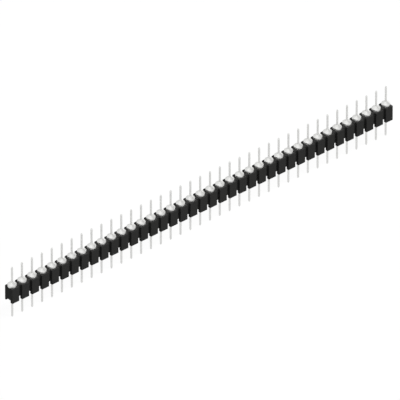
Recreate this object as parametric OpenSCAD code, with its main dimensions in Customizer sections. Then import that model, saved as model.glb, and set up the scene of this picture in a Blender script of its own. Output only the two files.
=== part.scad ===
// Pin header strip: a single row of turned contact pins in one moulded insulator.
// The insulator is a row of blocks joined by thin webs, so that it can be snapped to length.
// Origin: middle of the row, on the pin axes, in the plane that the stand-off feet rest on.
// +X runs along the row, +Y to the back, and +Z towards the plug ends of the pins.

/* [Row] */
// Number of pins in the row
pin_count = 39; // [2:1:59]
// Distance between neighbouring pin axes
pitch = 2.54; // [2.1:0.01:3.2]

/* [Insulator] */
// Depth of the insulator, front to back
body_depth = 2.3; // [1.8:0.05:3]
// Height of the insulator above the seating plane
body_height = 3.4; // [2:0.05:6]
// Width of a break slot where it opens at the front or back face
slot_mouth = 0.76; // [0.5:0.02:1]
// Width of a break slot where it meets the web
slot_root = 0.64; // [0.4:0.02:0.9]
// Thickness of the web between two blocks, front to back
web_thickness = 1.34; // [0.8:0.02:1.5]
// Height of a web's underside above the seating plane
web_underside = 0.72; // [0.3:0.02:1.5]
// Thickness of the front stand-off feet
front_foot = 0.6; // [0.3:0.02:0.64]
// Thickness of the back stand-off feet
back_foot = 0.34; // [0.2:0.02:0.64]
// Height of the channel between the feet
channel_height = 0.54; // [0.3:0.02:1]

/* [Pin] */
// Diameter of the shank that is pressed into the insulator
shank_diameter = 1.0; // [0.7:0.05:1.2]
// Radial gap between shank and bore, 0 for a line to line press fit
shank_gap = 0; // [0:0.005:0.05]
// Lead chamfer at the lower end of the shank
shank_chamfer = 0.12; // [0.05:0.01:0.2]
// Height above the seating plane at which the tail widens towards the shank
tail_root = 0.14; // [0.1:0.02:0.25]
// Diameter of the collar that seats on the insulator
collar_diameter = 1.84; // [1.5:0.02:2.3]
// Height of the collar's straight side
collar_height = 0.5; // [0.2:0.01:0.8]
// Diameter at the top of the cone on the collar
cone_top_diameter = 0.6; // [0.6:0.02:1.2]
// Height of the cone on the collar
cone_height = 0.42; // [0.2:0.02:1]
// Diameter of the plug pin, which enters a socket
plug_diameter = 0.42; // [0.36:0.01:0.56]
// Length of the plug pin above the cone, with its tip
plug_length = 3.66; // [2:0.02:8]
// Diameter of the tail, which is soldered into a board
tail_diameter = 0.42; // [0.36:0.01:0.56]
// Length of the tail below the seating plane, with its tip
tail_length = 4; // [2:0.05:8]
// Diameter of the flat at the end of each tip
tip_diameter = 0.2; // [0.1:0.02:0.3]
// Length of each tapered tip
tip_taper = 0.26; // [0.1:0.02:0.6]

/* [Hidden] */
$fn = 48;
// Extra depth that lets a cut run clear of the face it opens on
overcut = 0.5;

row_span = (pin_count - 1) * pitch;
body_length = row_span + pitch - slot_mouth;
channel_width = body_depth - front_foot - back_foot;
slot_depth = (body_depth - web_thickness) / 2;
bore_diameter = shank_diameter + 2 * shank_gap;
collar_top = body_height + collar_height;
cone_top = collar_top + cone_height;
plug_tip = cone_top + plug_length;

insulator_colour = [0.12, 0.12, 0.13];
pin_colour = [0.82, 0.82, 0.81];

function pin_name(number) = str("pin_", number < 10 ? "0" : "", number);
function pin_x(number) = (number - 1) * pitch - row_span / 2;
function slot_x(number) = pin_x(number) + pitch / 2;

// One break slot seen from above, open towards -Y, with its floor on the front of the web
module slot_outline() {
    flare = (slot_mouth - slot_root) / 2 / slot_depth;
    mouth_y = -body_depth / 2 - overcut;
    mouth_half = slot_root / 2 + flare * (slot_depth + overcut);
    polygon([
        [-slot_root / 2, -web_thickness / 2],
        [-mouth_half, mouth_y],
        [mouth_half, mouth_y],
        [slot_root / 2, -web_thickness / 2]
    ]);
}

// The insulator seen from above: blocks joined by webs
module row_outline() {
    difference() {
        square([body_length, body_depth], center = true);
        for (number = [1:pin_count - 1]) translate([slot_x(number), 0]) {
            slot_outline();
            mirror([0, 1]) slot_outline();
        }
    }
}

// The gap under one web, from the front of the row to the back
module web_gap() {
    translate([-slot_root / 2, -body_depth / 2 - overcut, -overcut])
        cube([slot_root, body_depth + 2 * overcut, web_underside + overcut]);
}

// The channel under the whole row, which leaves a front and a back foot on each block
module foot_channel() {
    translate([-body_length / 2 - overcut, front_foot - body_depth / 2, -overcut])
        cube([body_length + 2 * overcut, channel_width, channel_height + overcut]);
}

// The hole that one pin's shank is pressed into
module shank_bore() {
    translate([0, 0, -overcut])
        cylinder(h = body_height + 2 * overcut, d = bore_diameter);
}

module insulator() {
    color(insulator_colour) difference() {
        linear_extrude(height = body_height) row_outline();
        foot_channel();
        for (number = [1:pin_count - 1]) translate([slot_x(number), 0, 0]) web_gap();
        for (number = [1:pin_count]) translate([pin_x(number), 0, 0]) shank_bore();
    }
}

// Half section of a pin: radius along X and height along Y, from the tail's tip upwards
module pin_section() {
    polygon([
        [0, -tail_length],
        [tip_diameter / 2, -tail_length],
        [tail_diameter / 2, tip_taper - tail_length],
        [tail_diameter / 2, tail_root],
        [shank_diameter / 2 - shank_chamfer, channel_height],
        [shank_diameter / 2, channel_height + shank_chamfer],
        [shank_diameter / 2, body_height],
        [collar_diameter / 2, body_height],
        [collar_diameter / 2, collar_top],
        [cone_top_diameter / 2, cone_top],
        [plug_diameter / 2, cone_top],
        [plug_diameter / 2, plug_tip - tip_taper],
        [tip_diameter / 2, plug_tip],
        [0, plug_tip]
    ]);
}

module pin(number) {
    color(pin_colour) translate([pin_x(number), 0, 0])
        rotate_extrude() pin_section();
}

insulator();
for (number = [1:pin_count])
    pin(number);
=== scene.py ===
"""Turned pin header strip: the finish of every piece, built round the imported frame."""
import math

import bpy
import numpy as np
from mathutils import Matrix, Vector


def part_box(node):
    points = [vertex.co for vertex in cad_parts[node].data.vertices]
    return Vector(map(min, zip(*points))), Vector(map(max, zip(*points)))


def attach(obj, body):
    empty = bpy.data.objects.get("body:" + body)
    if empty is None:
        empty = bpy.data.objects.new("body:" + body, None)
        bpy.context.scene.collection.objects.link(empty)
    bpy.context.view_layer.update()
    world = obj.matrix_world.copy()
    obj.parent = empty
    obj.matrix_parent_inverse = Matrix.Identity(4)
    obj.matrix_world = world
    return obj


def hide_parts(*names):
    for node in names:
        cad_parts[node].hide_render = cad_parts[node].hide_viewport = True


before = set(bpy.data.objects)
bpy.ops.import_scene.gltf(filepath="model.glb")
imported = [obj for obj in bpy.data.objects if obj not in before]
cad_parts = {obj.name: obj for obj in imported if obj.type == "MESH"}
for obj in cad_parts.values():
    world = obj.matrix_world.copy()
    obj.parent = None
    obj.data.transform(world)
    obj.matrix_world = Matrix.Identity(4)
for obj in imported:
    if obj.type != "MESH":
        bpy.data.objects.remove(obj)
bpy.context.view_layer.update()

# ---------------------------------------------------------------- sizes, in metres
MM = 0.001
PIN_NODES = sorted(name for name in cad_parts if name.startswith("pin_"))
body_lo, body_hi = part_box("insulator")
pin_lo, pin_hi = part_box(PIN_NODES[0])
pin_x = np.array([sum(corner.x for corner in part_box(name)) / 2 for name in PIN_NODES])
row_span = pin_x[-1] - pin_x[0]
pitch = row_span / (len(pin_x) - 1)
body_depth = body_hi.y - body_lo.y
body_height = body_hi.z
collar_radius = (pin_hi.x - pin_lo.x) / 2
plug_tip = pin_hi.z
tail_tip = pin_lo.z

# The insulator
SLOT_MOUTH = pitch - (body_hi.x - body_lo.x - row_span)
SLOT_ROOT = 0.64 * MM
WEB_THICKNESS = 1.34 * MM
WEB_UNDERSIDE = 0.72 * MM
FRONT_FOOT = 0.6 * MM
BACK_FOOT = 0.34 * MM
CHANNEL_HEIGHT = 0.54 * MM
EDGE_RADIUS = 0.045 * MM
EDGE_STEPS = 2
SHARP_EDGE = math.radians(40)
BORE_SIDES = 32

# A pin
SHANK_RADIUS = 0.5 * MM
SHANK_CHAMFER = 0.12 * MM
COLLAR_HEIGHT = 0.5 * MM
CONE_TOP_RADIUS = 0.3 * MM
CONE_HEIGHT = 0.42 * MM
PLUG_RADIUS = 0.21 * MM
TAIL_RADIUS = 0.21 * MM
TAIL_ROOT = 0.14 * MM
TIP_RADIUS = 0.1 * MM
TIP_TAPER = 0.26 * MM
PIN_SIDES = 40

# How far each corner of a pin's half section is rounded
TIP_ROUND = 0.06 * MM
TAPER_ROUND = 0.3 * MM
TAIL_ROOT_ROUND = 0.2 * MM
SHANK_ROUND = 0.02 * MM
COLLAR_FOOT_ROUND = 0.04 * MM
COLLAR_TOP_ROUND = 0.05 * MM
CONE_TOP_ROUND = 0.06 * MM
PLUG_ROOT_ROUND = 0.05 * MM
ARC_STEPS = 4
MOST_OF_A_SIDE = 0.45


# ---------------------------------------------------------------- meshes
def new_piece(name, verts, faces, slot, replaced):
    """A mesh object at the origin that rides on the root body and stands for a CAD node."""
    mesh = bpy.data.meshes.new(name)
    mesh.from_pydata(verts.tolist(), [], faces)
    mesh.update()
    piece = bpy.data.objects.new(name, mesh)
    bpy.context.scene.collection.objects.link(piece)
    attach(piece, "root")
    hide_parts(replaced)
    return piece


def rounded(corners):
    """A polyline with each corner turned into an arc.

    corners holds (x, y, radius). The arc's centre is on the corner's bisector, at
    radius / sin(half the angle between its sides), and it starts and ends square to them.
    It takes up no more than MOST_OF_A_SIDE of either side.
    """
    points = []
    xy = [np.array(corner[:2], float) for corner in corners]
    for index, (_, _, radius) in enumerate(corners):
        if radius == 0:
            points.append(xy[index])
            continue
        back = xy[index - 1] - xy[index]
        ahead = xy[index + 1] - xy[index]
        back_len, ahead_len = np.linalg.norm(back), np.linalg.norm(ahead)
        back, ahead = back / back_len, ahead / ahead_len
        half = math.acos(np.clip(back @ ahead, -1, 1)) / 2
        longest = MOST_OF_A_SIDE * min(back_len, ahead_len)
        reach = min(radius / math.tan(half), longest)
        radius = reach * math.tan(half)
        bisector = (back + ahead) / np.linalg.norm(back + ahead)
        centre = xy[index] + bisector * radius / math.sin(half)
        start = xy[index] + back * reach - centre
        end = xy[index] + ahead * reach - centre
        sweep = math.pi - 2 * half
        share = np.linspace(0, 1, ARC_STEPS + 1)[:, None]
        arc = (np.sin((1 - share) * sweep) * start + np.sin(share * sweep) * end) / math.sin(sweep)
        points.extend(centre + arc)
    return np.array(points)


def turned(profile, x):
    """A surface of revolution about the upright line through x and y = 0, closed at both poles.

    A point is (x + r cos t, r sin t, z): the profile gives r and z from the bottom pole
    to the top one, and t goes round in equal steps.
    """
    radius, height = profile[1:-1].T
    angle = np.arange(PIN_SIDES) * 2 * math.pi / PIN_SIDES
    ring_x = x + radius[:, None] * np.cos(angle)
    ring_y = radius[:, None] * np.sin(angle)
    ring_z = np.broadcast_to(height[:, None], ring_x.shape)
    rings = np.stack([ring_x, ring_y, ring_z], axis=-1).reshape(-1, 3)
    poles = np.array([[x, 0, profile[0, 1]], [x, 0, profile[-1, 1]]])
    index = np.arange(len(radius) * PIN_SIDES).reshape(len(radius), PIN_SIDES)
    side = np.roll(index, -1, axis=1)
    quads = np.stack([index[:-1], side[:-1], side[1:], index[1:]], axis=-1).reshape(-1, 4)
    bottom, top = len(rings), len(rings) + 1
    foot = [(bottom, b, a) for a, b in zip(index[0], side[0])]
    head = [(top, a, b) for a, b in zip(index[-1], side[-1])]
    return np.vstack([rings, poles]), quads.tolist() + foot + head


def pin_profile():
    """Radius and height of a pin's half section, from the tail's tip up to the plug's."""
    collar_top = body_height + COLLAR_HEIGHT
    cone_top = collar_top + CONE_HEIGHT
    return rounded([
        (0, tail_tip, 0),
        (TIP_RADIUS, tail_tip, TIP_ROUND),
        (TAIL_RADIUS, tail_tip + TIP_TAPER, TAPER_ROUND),
        (TAIL_RADIUS, TAIL_ROOT, TAIL_ROOT_ROUND),
        (SHANK_RADIUS - SHANK_CHAMFER, CHANNEL_HEIGHT, SHANK_ROUND),
        (SHANK_RADIUS, CHANNEL_HEIGHT + SHANK_CHAMFER, SHANK_ROUND),
        (SHANK_RADIUS, body_height, SHANK_ROUND),
        (collar_radius, body_height, COLLAR_FOOT_ROUND),
        (collar_radius, collar_top, COLLAR_TOP_ROUND),
        (CONE_TOP_RADIUS, cone_top, CONE_TOP_ROUND),
        (PLUG_RADIUS, cone_top, PLUG_ROOT_ROUND),
        (PLUG_RADIUS, plug_tip - TIP_TAPER, TAPER_ROUND),
        (TIP_RADIUS, plug_tip, TIP_ROUND),
        (0, plug_tip, 0),
    ])


def lattice_shell(x_edges, y_edges, z_edges, solid):
    """The skin of a lattice of cells: a quad wherever a filled cell meets an empty one."""
    filled = np.pad(solid, 1)
    counts = np.array(filled.shape) - 1
    number = np.arange(counts.prod()).reshape(counts)
    quads = []
    for axis in range(3):
        low = np.take(filled, range(filled.shape[axis] - 1), axis)
        high = np.take(filled, range(1, filled.shape[axis]), axis)
        others = [a for a in range(3) if a != axis]
        for outward in (1, -1):
            faces = (low & ~high) if outward == 1 else (high & ~low)
            where = np.argwhere(faces)
            where[:, others] -= 1
            step_a, step_b = np.eye(3, dtype=int)[others]
            order = [np.zeros(3, int), step_a, step_a + step_b, step_b]
            if (outward == -1) != (axis == 1):
                order.reverse()
            quads.append(np.stack([number[tuple((where + o).T)] for o in order], axis=-1))
    quads = np.vstack(quads)
    edges = np.meshgrid(x_edges, y_edges, z_edges, indexing="ij")
    grid = np.stack(edges, axis=-1).reshape(-1, 3)
    used, quads = np.unique(quads, return_inverse=True)
    return grid[used], quads.reshape(-1, 4)


def insulator_shell():
    """The moulding as a lattice, bent to its true outline.

    The square round each pin's axis is pushed in to a circle for the bore, and the flanks
    of the break slots lean, so that a slot is wider at its mouth than at the web. The two
    ends of the row are cut flat.
    """
    bore_angles = np.linspace(-math.pi / 4, math.pi / 4, BORE_SIDES // 4 + 1)
    square = SHANK_RADIUS * np.tan(bore_angles)
    block_half = (pitch - SLOT_ROOT) / 2
    web_half = WEB_THICKNESS / 2
    channel_front, channel_back = body_lo.y + FRONT_FOOT, body_hi.y - BACK_FOOT
    across_block = np.concatenate([[-block_half], square, [block_half]])
    x_edges = (pin_x[:, None] + across_block).ravel()
    planes = [body_lo.y, channel_front, -web_half, web_half, channel_back, body_hi.y]
    y_edges = np.sort(np.concatenate([planes, square]))
    z_edges = np.array([0, CHANNEL_HEIGHT, WEB_UNDERSIDE, body_height])

    x_mid, y_mid, z_mid = (
        (edges[1:] + edges[:-1]) / 2 for edges in (x_edges, y_edges, z_edges)
    )
    x, y, z = np.meshgrid(x_mid, y_mid, z_mid, indexing="ij")
    from_pin = np.abs((x - pin_x[0] + pitch / 2) % pitch - pitch / 2)
    block = from_pin < block_half
    bore = (from_pin < SHANK_RADIUS) & (np.abs(y) < SHANK_RADIUS)
    channel = (y > channel_front) & (y < channel_back) & (z < CHANNEL_HEIGHT)
    web = ~block & (np.abs(y) < web_half) & (z > WEB_UNDERSIDE)
    verts, quads = lattice_shell(x_edges, y_edges, z_edges, (block & ~bore & ~channel) | web)

    # A hair's breadth of slack, so that points on the outlines count as on them
    hair = 1e-3
    nearest = pin_x[np.abs(verts[:, :1] - pin_x).argmin(axis=1)]
    local = verts[:, 0] - nearest
    across = np.abs(verts[:, 1])
    in_square = np.maximum(np.abs(local), across) < SHANK_RADIUS * (1 + hair)
    reach = np.maximum(np.hypot(local, across), hair * MM)
    scale = np.where(in_square, SHANK_RADIUS / reach, 1)
    slot_depth = (body_depth - WEB_THICKNESS) / 2
    towards_mouth = np.clip((across - web_half) / slot_depth, 0, 1)
    lean = (SLOT_MOUTH - SLOT_ROOT) / 2 * towards_mouth
    on_flank = np.abs(local) > block_half * (1 - hair)
    local = np.where(on_flank, local - np.sign(local) * lean, local * scale)
    verts[:, 0] = np.clip(nearest + local, body_lo.x, body_hi.x)
    verts[:, 1] *= np.where(on_flank, 1, scale)
    return verts, quads.tolist()


# ---------------------------------------------------------------- materials
# A noise pattern lies mostly between these two values, which are taken to its ends.
PATTERN_LOW, PATTERN_HIGH = 0.3, 0.7


def node_material(name, **shader_values):
    """A Principled material: returns it with its tree, its shader and Object coordinates."""
    material = bpy.data.materials.new(name)
    material.use_nodes = True
    tree = material.node_tree
    shader = tree.nodes["Principled BSDF"]
    for socket, value in shader_values.items():
        shader.inputs[socket.replace("_", " ")].default_value = value
    coords = tree.nodes.new("ShaderNodeTexCoord").outputs["Object"]
    return material, tree, shader, coords


def stretched(tree, coords, scale):
    """Object coordinates multiplied by scale along X, Y and Z."""
    mapping = tree.nodes.new("ShaderNodeMapping")
    mapping.inputs["Scale"].default_value = scale
    tree.links.new(coords, mapping.inputs["Vector"])
    return mapping.outputs["Vector"]


def noise(tree, coords, scale, detail):
    """A noise pattern whose features are about 1 / scale metres across."""
    texture = tree.nodes.new("ShaderNodeTexNoise")
    texture.inputs["Scale"].default_value = scale
    texture.inputs["Detail"].default_value = detail
    tree.links.new(coords, texture.inputs["Vector"])
    return texture.outputs["Fac"]


def tint(tree, shader, pattern, low, high):
    """The shader's colour, from low to high with the pattern."""
    ramp = tree.nodes.new("ShaderNodeValToRGB")
    ramp.color_ramp.elements[0].position = PATTERN_LOW
    ramp.color_ramp.elements[0].color = (*low, 1)
    ramp.color_ramp.elements[1].position = PATTERN_HIGH
    ramp.color_ramp.elements[1].color = (*high, 1)
    tree.links.new(pattern, ramp.inputs["Fac"])
    tree.links.new(ramp.outputs["Color"], shader.inputs["Base Color"])


def dull(tree, shader, pattern, low, high):
    """The shader's roughness, from low to high with the pattern."""
    spread = tree.nodes.new("ShaderNodeMapRange")
    spread.inputs["From Min"].default_value = PATTERN_LOW
    spread.inputs["From Max"].default_value = PATTERN_HIGH
    spread.inputs["To Min"].default_value = low
    spread.inputs["To Max"].default_value = high
    tree.links.new(pattern, spread.inputs["Value"])
    tree.links.new(spread.outputs["Result"], shader.inputs["Roughness"])


def bump(tree, shader, pattern, distance, strength, under=None):
    """Relief of the given depth in metres, on top of another bump if under is given."""
    node = tree.nodes.new("ShaderNodeBump")
    node.inputs["Strength"].default_value = strength
    node.inputs["Distance"].default_value = distance
    tree.links.new(pattern, node.inputs["Height"])
    if under is not None:
        tree.links.new(under, node.inputs["Normal"])
    tree.links.new(node.outputs["Normal"], shader.inputs["Normal"])
    return node.outputs["Normal"]


def moulded_black():
    """Black glass-filled plastic: fine matt grain, slow waves from the mould, faint flecks."""
    material, tree, shader, coords = node_material(
        "moulded_black", Metallic=0.0, Specular_IOR_Level=0.02)
    flecks = noise(tree, coords, scale=14000, detail=4)
    flow = noise(tree, stretched(tree, coords, (0.35, 1, 1)), scale=900, detail=3)
    grain = noise(tree, coords, scale=26000, detail=3)
    tint(tree, shader, flecks, (0.028, 0.028, 0.0272), (0.042, 0.042, 0.0408))
    dull(tree, shader, flow, 0.46, 0.60)
    wave = bump(tree, shader, flow, 0.006 * MM, 0.6)
    bump(tree, shader, grain, 0.0012 * MM, 0.6, wave)
    return material


def plated_metal():
    """Tin plate on a turned pin: rings left by the tool, a soft cloud, small dull patches."""
    material, tree, shader, coords = node_material("plated_metal", Metallic=1.0)
    rings = noise(tree, stretched(tree, coords, (0.02, 0.02, 1)), scale=30000, detail=2)
    clouds = noise(tree, coords, scale=3500, detail=4)
    tint(tree, shader, clouds, (0.77, 0.77, 0.757), (0.87, 0.87, 0.855))
    dull(tree, shader, clouds, 0.40, 0.52)
    soft = bump(tree, shader, clouds, 0.002 * MM, 0.5)
    bump(tree, shader, rings, 0.001 * MM, 0.5, soft)
    return material


# ---------------------------------------------------------------- pieces
def dress_insulator():
    """The moulding, with a small radius on every edge."""
    piece = new_piece(
        "insulator_moulding", *insulator_shell(), "insulator_plastic", "insulator")
    edge = piece.modifiers.new("mould_radius", "BEVEL")
    edge.width = EDGE_RADIUS
    edge.segments = EDGE_STEPS
    edge.limit_method = "ANGLE"
    edge.angle_limit = SHARP_EDGE
    edge.use_clamp_overlap = False
    piece.data.materials.append(moulded_black())


def dress_pins():
    """The turned pins, each with its rounded edges and tips."""
    metal = plated_metal()
    profile = pin_profile()
    for node, x in zip(PIN_NODES, pin_x):
        piece = new_piece(f"{node}_turned", *turned(profile, x), "pin_metal", node)
        piece.data.shade_smooth()
        piece.data.materials.append(metal)


# ---------------------------------------------------------------- stage
FLOOR_HALF = 30.0
FLOOR_GREY = 0.03
FLOOR_GLOW = 0.97

# Soft boxes and dark cards round the strip, as seen in its gloss: direction towards each,
# its half angle and soft edge in degrees, and how much brighter than the surround it is,
# or darker if below 0.
SOFT_BOXES = [
    ((-0.70, -0.45, 0.90), 10, 40, 0.53),
    ((-0.40, 0.55, 0.73), 10, 30, 0.13),
    ((0.80, -0.14, 0.58), 4, 18, -0.38),
    ((0.94, 0.28, 0.20), 10, 25, 0.53),
]
SURROUND = 0.80
# How much of the surround's light a matt surface takes, beside the key light's
DIFFUSE_SHARE = 0.38
WHITE = (1, 1, 1, 1)

KEY_TOWARDS = Vector((0.24, -0.45, 1.0))
KEY_STRENGTH = 2.9
KEY_ANGLE = math.radians(20)

# The camera's place, as seen from the strip: degrees round from the front, to the left if
# below 0, and degrees above the level. AIM is the point in the middle of the view, inside
# the insulator at the middle pin, and VIEW_WIDTH is the view's width there.
CAMERA_AZIMUTH = math.radians(-39.9)
CAMERA_ELEVATION = math.radians(35.4)
AIM = Vector((-0.06, -0.02, 2.17)) * MM
VIEW_WIDTH = 79.27 * MM
LENS = 1700.0
NEAREST_SEEN = 0.1


def add_floor():
    """A pale floor at the tails' tips, which keeps its light to itself."""
    mesh = bpy.data.meshes.new("floor")
    corners = [(-1, -1), (1, -1), (1, 1), (-1, 1)]
    mesh.from_pydata([(x * FLOOR_HALF, y * FLOOR_HALF, tail_tip) for x, y in corners],
                     [], [(0, 1, 2, 3)])
    floor = bpy.data.objects.new("floor", mesh)
    bpy.context.scene.collection.objects.link(floor)
    material = node_material(
        "floor_white", Roughness=1.0, Specular_IOR_Level=0.0,
        Base_Color=(FLOOR_GREY, FLOOR_GREY, FLOOR_GREY, 1),
        Emission_Color=WHITE, Emission_Strength=FLOOR_GLOW)[0]
    mesh.materials.append(material)
    floor.visible_diffuse = False
    floor.visible_glossy = False
    floor.visible_shadow = False


def maths(tree, operation, first, second):
    """The outcome of an operation on two outputs, or on an output and a number."""
    node = tree.nodes.new("ShaderNodeMath")
    node.operation = operation
    tree.links.new(first, node.inputs[0])
    if isinstance(second, float):
        node.inputs[1].default_value = second
    else:
        tree.links.new(second, node.inputs[1])
    return node.outputs["Value"]


def soft_box(tree, direction, towards, half_angle, soft, strength):
    """Full strength within half_angle of a direction, fading to none over the soft edge."""
    dot = tree.nodes.new("ShaderNodeVectorMath")
    dot.operation = "DOT_PRODUCT"
    dot.inputs[1].default_value = Vector(towards).normalized()
    tree.links.new(direction, dot.inputs[0])
    lobe = tree.nodes.new("ShaderNodeMapRange")
    lobe.interpolation_type = "SMOOTHSTEP"
    lobe.inputs["From Min"].default_value = math.cos(math.radians(half_angle + soft))
    lobe.inputs["From Max"].default_value = math.cos(math.radians(half_angle))
    lobe.inputs["To Max"].default_value = strength
    tree.links.new(dot.outputs["Value"], lobe.inputs["Value"])
    return lobe.outputs["Result"]


def studio_light(tree, path):
    """The light from each direction: the surround and its soft boxes, less for matt surfaces."""
    direction = tree.nodes.new("ShaderNodeTexCoord").outputs["Generated"]
    total = SURROUND
    for towards, half_angle, soft, strength in SOFT_BOXES:
        box = soft_box(tree, direction, towards, half_angle, soft, strength)
        total = maths(tree, "ADD", box, total)
    share = tree.nodes.new("ShaderNodeMapRange")
    share.inputs["To Min"].default_value = 1.0
    share.inputs["To Max"].default_value = DIFFUSE_SHARE
    tree.links.new(path["Is Diffuse Ray"], share.inputs["Value"])
    return maths(tree, "MULTIPLY", total, share.outputs["Result"])


def add_studio():
    """The studio round the strip, and plain white where the camera looks past the floor."""
    world = bpy.data.worlds.new("studio")
    bpy.context.scene.world = world
    world.use_nodes = True
    tree = world.node_tree
    path = tree.nodes.new("ShaderNodeLightPath").outputs
    surround = tree.nodes["Background"]
    surround.inputs["Color"].default_value = WHITE
    tree.links.new(studio_light(tree, path), surround.inputs["Strength"])
    white = tree.nodes.new("ShaderNodeBackground")
    white.inputs["Color"].default_value = WHITE
    mix = tree.nodes.new("ShaderNodeMixShader")
    tree.links.new(path["Is Camera Ray"], mix.inputs["Fac"])
    tree.links.new(surround.outputs["Background"], mix.inputs[1])
    tree.links.new(white.outputs["Background"], mix.inputs[2])
    tree.links.new(mix.outputs["Shader"], tree.nodes["World Output"].inputs["Surface"])


def add_key():
    """A soft light from far away, which lights matt surfaces and doesn't show in the gloss."""
    light = bpy.data.lights.new("key", "SUN")
    light.energy = KEY_STRENGTH
    light.angle = KEY_ANGLE
    lamp = bpy.data.objects.new("key", light)
    bpy.context.scene.collection.objects.link(lamp)
    lamp.rotation_euler = KEY_TOWARDS.to_track_quat("Z", "Y").to_euler()
    lamp.visible_glossy = False


def add_camera():
    """A very long lens from far off, so that equal blocks look equal along the whole row."""
    camera = bpy.data.objects.new("camera", bpy.data.cameras.new("camera"))
    bpy.context.scene.collection.objects.link(camera)
    level = math.cos(CAMERA_ELEVATION)
    back = Vector((math.sin(CAMERA_AZIMUTH) * level,
                   -math.cos(CAMERA_AZIMUTH) * level,
                   math.sin(CAMERA_ELEVATION)))
    distance = VIEW_WIDTH * LENS / camera.data.sensor_width
    camera.data.lens = LENS
    camera.data.clip_start = NEAREST_SEEN
    camera.data.clip_end = 2 * distance
    camera.location = AIM + back * distance
    camera.rotation_euler = (-back).to_track_quat("-Z", "Y").to_euler()
    bpy.context.scene.camera = camera


add_camera()
dress_insulator()
dress_pins()
add_floor()
add_studio()
add_key()
bpy.context.scene.view_settings.view_transform = "Standard"
